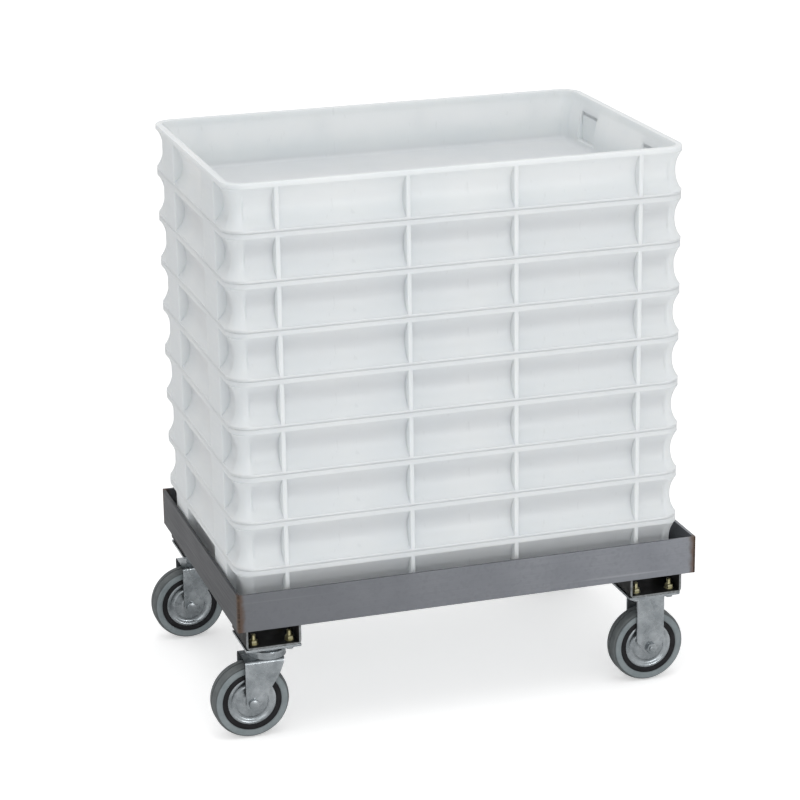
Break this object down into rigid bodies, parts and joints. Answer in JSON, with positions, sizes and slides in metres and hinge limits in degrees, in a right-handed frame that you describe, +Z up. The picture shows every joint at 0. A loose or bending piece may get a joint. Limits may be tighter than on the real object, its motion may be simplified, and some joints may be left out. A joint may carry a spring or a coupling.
{
  "type": "dough tray trolley",
  "caption": "Stack of nesting plastic dough trays standing in a welded steel angle frame with swivel casters at one end and fixed casters at the other.",
  "frame": {"origin": "on the floor under the middle of the whole outline, with the swivel casters trailing out at the left end", "axes": "+X to the right along the long side, from the swivel casters to the fixed ones; +Y from the front to the back; +Z up"},
  "size_m": [0.649, 0.42, 0.726],
  "materials": {
    "tray_plastic": "satin",
    "frame_steel": "brushed",
    "weld_steel": "rough",
    "bracket_paint": "satin",
    "zinc_plate": "satin",
    "grey_rubber": "matte"
  },
  "bodies": {
    "frame": {"front_angle": "frame_steel", "right_angle": "frame_steel", "back_angle": "frame_steel", "left_angle": "frame_steel", "corner_welds": "weld_steel", "front_left_bracket": "bracket_paint", "front_left_plate": "zinc_plate", "rear_left_bracket": "bracket_paint", "rear_left_plate": "zinc_plate", "front_right_bracket": "bracket_paint", "front_right_fork": "zinc_plate", "front_right_axle": "zinc_plate", "rear_right_bracket": "bracket_paint", "rear_right_fork": "zinc_plate", "rear_right_axle": "zinc_plate", "ball_races": "zinc_plate", "kingpins": "zinc_plate"},
    "front_left_swivel": {"front_left_fork": "zinc_plate", "front_left_axle": "zinc_plate"},
    "front_left_wheel_body": {"front_left_wheel": "grey_rubber"},
    "rear_left_swivel": {"rear_left_fork": "zinc_plate", "rear_left_axle": "zinc_plate"},
    "rear_left_wheel_body": {"rear_left_wheel": "grey_rubber"},
    "front_right_wheel_body": {"front_right_wheel": "grey_rubber"},
    "rear_right_wheel_body": {"rear_right_wheel": "grey_rubber"},
    "tray_1_body": {"tray_1": "tray_plastic"},
    "tray_2_body": {"tray_2": "tray_plastic"},
    "tray_3_body": {"tray_3": "tray_plastic"},
    "tray_4_body": {"tray_4": "tray_plastic"},
    "tray_5_body": {"tray_5": "tray_plastic"},
    "tray_6_body": {"tray_6": "tray_plastic"},
    "tray_7_body": {"tray_7": "tray_plastic"},
    "tray_8_body": {"tray_8": "tray_plastic"},
    "tray_9_body": {"tray_9": "tray_plastic"}
  },
  "joints": [
    {"name": "front_left_swivel_turn", "type": "hinge", "parent": "frame", "child": "front_left_swivel", "pos_m": [-0.2495, -0.172, 0.118], "axis": [0, 0, 1], "continuous": true},
    {"name": "front_left_wheel_spin", "type": "hinge", "parent": "front_left_swivel", "child": "front_left_wheel_body", "pos_m": [-0.2745, -0.172, 0.05], "axis": [0, 1, 0], "continuous": true},
    {"name": "rear_left_swivel_turn", "type": "hinge", "parent": "frame", "child": "rear_left_swivel", "pos_m": [-0.2495, 0.172, 0.118], "axis": [0, 0, 1], "continuous": true},
    {"name": "rear_left_wheel_spin", "type": "hinge", "parent": "rear_left_swivel", "child": "rear_left_wheel_body", "pos_m": [-0.2745, 0.172, 0.05], "axis": [0, 1, 0], "continuous": true},
    {"name": "front_right_wheel_spin", "type": "hinge", "parent": "frame", "child": "front_right_wheel_body", "pos_m": [0.2695, -0.172, 0.05], "axis": [0, 1, 0], "continuous": true},
    {"name": "rear_right_wheel_spin", "type": "hinge", "parent": "frame", "child": "rear_right_wheel_body", "pos_m": [0.2695, 0.172, 0.05], "axis": [0, 1, 0], "continuous": true},
    {"name": "tray_1_lift", "type": "slide", "parent": "frame", "child": "tray_1_body", "axis": [0, 0, 1], "range_m": [0, 0.1]},
    {"name": "tray_2_lift", "type": "slide", "parent": "tray_1_body", "child": "tray_2_body", "axis": [0, 0, 1], "range_m": [0, 0.1]},
    {"name": "tray_3_lift", "type": "slide", "parent": "tray_2_body", "child": "tray_3_body", "axis": [0, 0, 1], "range_m": [0, 0.1]},
    {"name": "tray_4_lift", "type": "slide", "parent": "tray_3_body", "child": "tray_4_body", "axis": [0, 0, 1], "range_m": [0, 0.1]},
    {"name": "tray_5_lift", "type": "slide", "parent": "tray_4_body", "child": "tray_5_body", "axis": [0, 0, 1], "range_m": [0, 0.1]},
    {"name": "tray_6_lift", "type": "slide", "parent": "tray_5_body", "child": "tray_6_body", "axis": [0, 0, 1], "range_m": [0, 0.1]},
    {"name": "tray_7_lift", "type": "slide", "parent": "tray_6_body", "child": "tray_7_body", "axis": [0, 0, 1], "range_m": [0, 0.1]},
    {"name": "tray_8_lift", "type": "slide", "parent": "tray_7_body", "child": "tray_8_body", "axis": [0, 0, 1], "range_m": [0, 0.1]},
    {"name": "tray_9_lift", "type": "slide", "parent": "tray_8_body", "child": "tray_9_body", "axis": [0, 0, 1], "range_m": [0, 0.1]}
  ]
}
